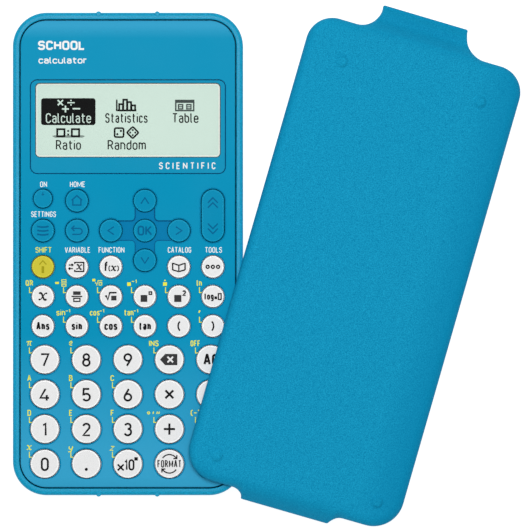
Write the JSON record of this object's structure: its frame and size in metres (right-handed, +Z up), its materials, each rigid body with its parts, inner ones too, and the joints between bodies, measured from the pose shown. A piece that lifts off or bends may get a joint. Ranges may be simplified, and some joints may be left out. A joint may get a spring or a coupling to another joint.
{
  "type": "scientific calculator",
  "caption": "School scientific calculator lying face up, with round keys, page rocker, display and battery bay, and its clip-on hard cover leaning on one corner.",
  "frame": {"origin": "on the table under the middle of the calculator's flat back", "axes": "+X to the right, towards the cover; +Y towards the display end; +Z up, out of the keys"},
  "size_m": [0.17, 0.1746, 0.0192],
  "materials": {
    "body_blue": "satin, fine grain",
    "cover_blue": "fine moulded grain",
    "blue_key": "satin",
    "white_key": "satin, fine speckle",
    "yellow_key": "satin",
    "display_window": "clear gloss",
    "display_panel": "pale green reflective liquid crystal display",
    "ribbon": "flexible circuit film",
    "rubber": "moulded silicone",
    "circuit_board": "solder mask",
    "contact_metal": "nickel plate",
    "cell_jacket": "plain printed jacket"
  },
  "bodies": {
    "calculator": {"front_case": "body_blue", "rear_case": "body_blue", "display_window": "display_window", "lcd_panel": "display_panel", "lcd_ribbon": "ribbon", "key_mat": "rubber", "circuit_board": "circuit_board", "battery_plus_contact": "contact_metal", "battery_minus_spring": "contact_metal"},
    "cover": {"cover": "cover_blue"},
    "battery_door": {"battery_door": "body_blue", "battery_door_screw": "contact_metal"},
    "battery_cell": {"battery_cell": "cell_jacket"},
    "page_rocker": {"page_rocker": "blue_key"},
    "key_on": {"key_on": "blue_key"},
    "key_home": {"key_home": "blue_key"},
    "key_up": {"key_up": "blue_key"},
    "key_settings": {"key_settings": "blue_key"},
    "key_back": {"key_back": "blue_key"},
    "key_left": {"key_left": "blue_key"},
    "key_ok": {"key_ok": "blue_key"},
    "key_right": {"key_right": "blue_key"},
    "key_down": {"key_down": "blue_key"},
    "key_shift": {"key_shift": "yellow_key"},
    "key_variable": {"key_variable": "white_key"},
    "key_function": {"key_function": "white_key"},
    "key_catalog": {"key_catalog": "white_key"},
    "key_tools": {"key_tools": "white_key"},
    "key_x": {"key_x": "white_key"},
    "key_fraction": {"key_fraction": "white_key"},
    "key_root": {"key_root": "white_key"},
    "key_power": {"key_power": "white_key"},
    "key_square": {"key_square": "white_key"},
    "key_log": {"key_log": "white_key"},
    "key_answer": {"key_answer": "white_key"},
    "key_sin": {"key_sin": "white_key"},
    "key_cos": {"key_cos": "white_key"},
    "key_tan": {"key_tan": "white_key"},
    "key_open_bracket": {"key_open_bracket": "white_key"},
    "key_close_bracket": {"key_close_bracket": "white_key"},
    "key_7": {"key_7": "white_key"},
    "key_8": {"key_8": "white_key"},
    "key_9": {"key_9": "white_key"},
    "key_delete": {"key_delete": "white_key"},
    "key_all_clear": {"key_all_clear": "white_key"},
    "key_4": {"key_4": "white_key"},
    "key_5": {"key_5": "white_key"},
    "key_6": {"key_6": "white_key"},
    "key_times": {"key_times": "white_key"},
    "key_divide": {"key_divide": "white_key"},
    "key_1": {"key_1": "white_key"},
    "key_2": {"key_2": "white_key"},
    "key_3": {"key_3": "white_key"},
    "key_plus": {"key_plus": "white_key"},
    "key_minus": {"key_minus": "white_key"},
    "key_0": {"key_0": "white_key"},
    "key_point": {"key_point": "white_key"},
    "key_power_of_ten": {"key_power_of_ten": "white_key"},
    "key_format": {"key_format": "white_key"},
    "key_execute": {"key_execute": "white_key"}
  },
  "joints": [
    {"name": "cover_lift", "type": "slide", "parent": "calculator", "child": "cover", "axis": [0, 0, 1], "range_m": [0, 0.06]},
    {"name": "battery_door_removal", "type": "slide", "parent": "calculator", "child": "battery_door", "axis": [0, 0, -1], "range_m": [0, 0.03]},
    {"name": "battery_cell_removal", "type": "slide", "parent": "calculator", "child": "battery_cell", "axis": [0, 0, -1], "range_m": [0, 0.018]},
    {"name": "page_rocker_tilt", "type": "hinge", "parent": "calculator", "child": "page_rocker", "pos_m": [0.02841, 0.0128, 0.01], "axis": [1, 0, 0], "range_deg": [-3, 3], "stiffness_Nm_per_rad": 0.05, "deforming": ["key_mat"]},
    {"name": "key_on_press", "type": "slide", "parent": "calculator", "child": "key_on", "axis": [0, 0, -1], "range_m": [0, 0.0008], "stiffness_N_per_m": 400, "springref_m": -0.0005, "deforming": ["key_mat"]},
    {"name": "key_home_press", "type": "slide", "parent": "calculator", "child": "key_home", "axis": [0, 0, -1], "range_m": [0, 0.0008], "stiffness_N_per_m": 400, "springref_m": -0.0005, "deforming": ["key_mat"]},
    {"name": "key_up_press", "type": "slide", "parent": "calculator", "child": "key_up", "axis": [0, 0, -1], "range_m": [0, 0.0008], "stiffness_N_per_m": 400, "springref_m": -0.0005, "deforming": ["key_mat"]},
    {"name": "key_settings_press", "type": "slide", "parent": "calculator", "child": "key_settings", "axis": [0, 0, -1], "range_m": [0, 0.0008], "stiffness_N_per_m": 400, "springref_m": -0.0005, "deforming": ["key_mat"]},
    {"name": "key_back_press", "type": "slide", "parent": "calculator", "child": "key_back", "axis": [0, 0, -1], "range_m": [0, 0.0008], "stiffness_N_per_m": 400, "springref_m": -0.0005, "deforming": ["key_mat"]},
    {"name": "key_left_press", "type": "slide", "parent": "calculator", "child": "key_left", "axis": [0, 0, -1], "range_m": [0, 0.0008], "stiffness_N_per_m": 400, "springref_m": -0.0005, "deforming": ["key_mat"]},
    {"name": "key_ok_press", "type": "slide", "parent": "calculator", "child": "key_ok", "axis": [0, 0, -1], "range_m": [0, 0.0008], "stiffness_N_per_m": 400, "springref_m": -0.0005, "deforming": ["key_mat"]},
    {"name": "key_right_press", "type": "slide", "parent": "calculator", "child": "key_right", "axis": [0, 0, -1], "range_m": [0, 0.0008], "stiffness_N_per_m": 400, "springref_m": -0.0005, "deforming": ["key_mat"]},
    {"name": "key_down_press", "type": "slide", "parent": "calculator", "child": "key_down", "axis": [0, 0, -1], "range_m": [0, 0.0008], "stiffness_N_per_m": 400, "springref_m": -0.0005, "deforming": ["key_mat"]},
    {"name": "key_shift_press", "type": "slide", "parent": "calculator", "child": "key_shift", "axis": [0, 0, -1], "range_m": [0, 0.0008], "stiffness_N_per_m": 400, "springref_m": -0.0005, "deforming": ["key_mat"]},
    {"name": "key_variable_press", "type": "slide", "parent": "calculator", "child": "key_variable", "axis": [0, 0, -1], "range_m": [0, 0.0008], "stiffness_N_per_m": 400, "springref_m": -0.0005, "deforming": ["key_mat"]},
    {"name": "key_function_press", "type": "slide", "parent": "calculator", "child": "key_function", "axis": [0, 0, -1], "range_m": [0, 0.0008], "stiffness_N_per_m": 400, "springref_m": -0.0005, "deforming": ["key_mat"]},
    {"name": "key_catalog_press", "type": "slide", "parent": "calculator", "child": "key_catalog", "axis": [0, 0, -1], "range_m": [0, 0.0008], "stiffness_N_per_m": 400, "springref_m": -0.0005, "deforming": ["key_mat"]},
    {"name": "key_tools_press", "type": "slide", "parent": "calculator", "child": "key_tools", "axis": [0, 0, -1], "range_m": [0, 0.0008], "stiffness_N_per_m": 400, "springref_m": -0.0005, "deforming": ["key_mat"]},
    {"name": "key_x_press", "type": "slide", "parent": "calculator", "child": "key_x", "axis": [0, 0, -1], "range_m": [0, 0.0008], "stiffness_N_per_m": 400, "springref_m": -0.0005, "deforming": ["key_mat"]},
    {"name": "key_fraction_press", "type": "slide", "parent": "calculator", "child": "key_fraction", "axis": [0, 0, -1], "range_m": [0, 0.0008], "stiffness_N_per_m": 400, "springref_m": -0.0005, "deforming": ["key_mat"]},
    {"name": "key_root_press", "type": "slide", "parent": "calculator", "child": "key_root", "axis": [0, 0, -1], "range_m": [0, 0.0008], "stiffness_N_per_m": 400, "springref_m": -0.0005, "deforming": ["key_mat"]},
    {"name": "key_power_press", "type": "slide", "parent": "calculator", "child": "key_power", "axis": [0, 0, -1], "range_m": [0, 0.0008], "stiffness_N_per_m": 400, "springref_m": -0.0005, "deforming": ["key_mat"]},
    {"name": "key_square_press", "type": "slide", "parent": "calculator", "child": "key_square", "axis": [0, 0, -1], "range_m": [0, 0.0008], "stiffness_N_per_m": 400, "springref_m": -0.0005, "deforming": ["key_mat"]},
    {"name": "key_log_press", "type": "slide", "parent": "calculator", "child": "key_log", "axis": [0, 0, -1], "range_m": [0, 0.0008], "stiffness_N_per_m": 400, "springref_m": -0.0005, "deforming": ["key_mat"]},
    {"name": "key_answer_press", "type": "slide", "parent": "calculator", "child": "key_answer", "axis": [0, 0, -1], "range_m": [0, 0.0008], "stiffness_N_per_m": 400, "springref_m": -0.0005, "deforming": ["key_mat"]},
    {"name": "key_sin_press", "type": "slide", "parent": "calculator", "child": "key_sin", "axis": [0, 0, -1], "range_m": [0, 0.0008], "stiffness_N_per_m": 400, "springref_m": -0.0005, "deforming": ["key_mat"]},
    {"name": "key_cos_press", "type": "slide", "parent": "calculator", "child": "key_cos", "axis": [0, 0, -1], "range_m": [0, 0.0008], "stiffness_N_per_m": 400, "springref_m": -0.0005, "deforming": ["key_mat"]},
    {"name": "key_tan_press", "type": "slide", "parent": "calculator", "child": "key_tan", "axis": [0, 0, -1], "range_m": [0, 0.0008], "stiffness_N_per_m": 400, "springref_m": -0.0005, "deforming": ["key_mat"]},
    {"name": "key_open_bracket_press", "type": "slide", "parent": "calculator", "child": "key_open_bracket", "axis": [0, 0, -1], "range_m": [0, 0.0008], "stiffness_N_per_m": 400, "springref_m": -0.0005, "deforming": ["key_mat"]},
    {"name": "key_close_bracket_press", "type": "slide", "parent": "calculator", "child": "key_close_bracket", "axis": [0, 0, -1], "range_m": [0, 0.0008], "stiffness_N_per_m": 400, "springref_m": -0.0005, "deforming": ["key_mat"]},
    {"name": "key_7_press", "type": "slide", "parent": "calculator", "child": "key_7", "axis": [0, 0, -1], "range_m": [0, 0.0008], "stiffness_N_per_m": 400, "springref_m": -0.0005, "deforming": ["key_mat"]},
    {"name": "key_8_press", "type": "slide", "parent": "calculator", "child": "key_8", "axis": [0, 0, -1], "range_m": [0, 0.0008], "stiffness_N_per_m": 400, "springref_m": -0.0005, "deforming": ["key_mat"]},
    {"name": "key_9_press", "type": "slide", "parent": "calculator", "child": "key_9", "axis": [0, 0, -1], "range_m": [0, 0.0008], "stiffness_N_per_m": 400, "springref_m": -0.0005, "deforming": ["key_mat"]},
    {"name": "key_delete_press", "type": "slide", "parent": "calculator", "child": "key_delete", "axis": [0, 0, -1], "range_m": [0, 0.0008], "stiffness_N_per_m": 400, "springref_m": -0.0005, "deforming": ["key_mat"]},
    {"name": "key_all_clear_press", "type": "slide", "parent": "calculator", "child": "key_all_clear", "axis": [0, 0, -1], "range_m": [0, 0.0008], "stiffness_N_per_m": 400, "springref_m": -0.0005, "deforming": ["key_mat"]},
    {"name": "key_4_press", "type": "slide", "parent": "calculator", "child": "key_4", "axis": [0, 0, -1], "range_m": [0, 0.0008], "stiffness_N_per_m": 400, "springref_m": -0.0005, "deforming": ["key_mat"]},
    {"name": "key_5_press", "type": "slide", "parent": "calculator", "child": "key_5", "axis": [0, 0, -1], "range_m": [0, 0.0008], "stiffness_N_per_m": 400, "springref_m": -0.0005, "deforming": ["key_mat"]},
    {"name": "key_6_press", "type": "slide", "parent": "calculator", "child": "key_6", "axis": [0, 0, -1], "range_m": [0, 0.0008], "stiffness_N_per_m": 400, "springref_m": -0.0005, "deforming": ["key_mat"]},
    {"name": "key_times_press", "type": "slide", "parent": "calculator", "child": "key_times", "axis": [0, 0, -1], "range_m": [0, 0.0008], "stiffness_N_per_m": 400, "springref_m": -0.0005, "deforming": ["key_mat"]},
    {"name": "key_divide_press", "type": "slide", "parent": "calculator", "child": "key_divide", "axis": [0, 0, -1], "range_m": [0, 0.0008], "stiffness_N_per_m": 400, "springref_m": -0.0005, "deforming": ["key_mat"]},
    {"name": "key_1_press", "type": "slide", "parent": "calculator", "child": "key_1", "axis": [0, 0, -1], "range_m": [0, 0.0008], "stiffness_N_per_m": 400, "springref_m": -0.0005, "deforming": ["key_mat"]},
    {"name": "key_2_press", "type": "slide", "parent": "calculator", "child": "key_2", "axis": [0, 0, -1], "range_m": [0, 0.0008], "stiffness_N_per_m": 400, "springref_m": -0.0005, "deforming": ["key_mat"]},
    {"name": "key_3_press", "type": "slide", "parent": "calculator", "child": "key_3", "axis": [0, 0, -1], "range_m": [0, 0.0008], "stiffness_N_per_m": 400, "springref_m": -0.0005, "deforming": ["key_mat"]},
    {"name": "key_plus_press", "type": "slide", "parent": "calculator", "child": "key_plus", "axis": [0, 0, -1], "range_m": [0, 0.0008], "stiffness_N_per_m": 400, "springref_m": -0.0005, "deforming": ["key_mat"]},
    {"name": "key_minus_press", "type": "slide", "parent": "calculator", "child": "key_minus", "axis": [0, 0, -1], "range_m": [0, 0.0008], "stiffness_N_per_m": 400, "springref_m": -0.0005, "deforming": ["key_mat"]},
    {"name": "key_0_press", "type": "slide", "parent": "calculator", "child": "key_0", "axis": [0, 0, -1], "range_m": [0, 0.0008], "stiffness_N_per_m": 400, "springref_m": -0.0005, "deforming": ["key_mat"]},
    {"name": "key_point_press", "type": "slide", "parent": "calculator", "child": "key_point", "axis": [0, 0, -1], "range_m": [0, 0.0008], "stiffness_N_per_m": 400, "springref_m": -0.0005, "deforming": ["key_mat"]},
    {"name": "key_power_of_ten_press", "type": "slide", "parent": "calculator", "child": "key_power_of_ten", "axis": [0, 0, -1], "range_m": [0, 0.0008], "stiffness_N_per_m": 400, "springref_m": -0.0005, "deforming": ["key_mat"]},
    {"name": "key_format_press", "type": "slide", "parent": "calculator", "child": "key_format", "axis": [0, 0, -1], "range_m": [0, 0.0008], "stiffness_N_per_m": 400, "springref_m": -0.0005, "deforming": ["key_mat"]},
    {"name": "key_execute_press", "type": "slide", "parent": "calculator", "child": "key_execute", "axis": [0, 0, -1], "range_m": [0, 0.0008], "stiffness_N_per_m": 400, "springref_m": -0.0005, "deforming": ["key_mat"]}
  ],
  "couplings": [
    {"joint": "battery_cell_removal", "follows": "battery_door_removal", "ratio": 0.6}
  ]
}
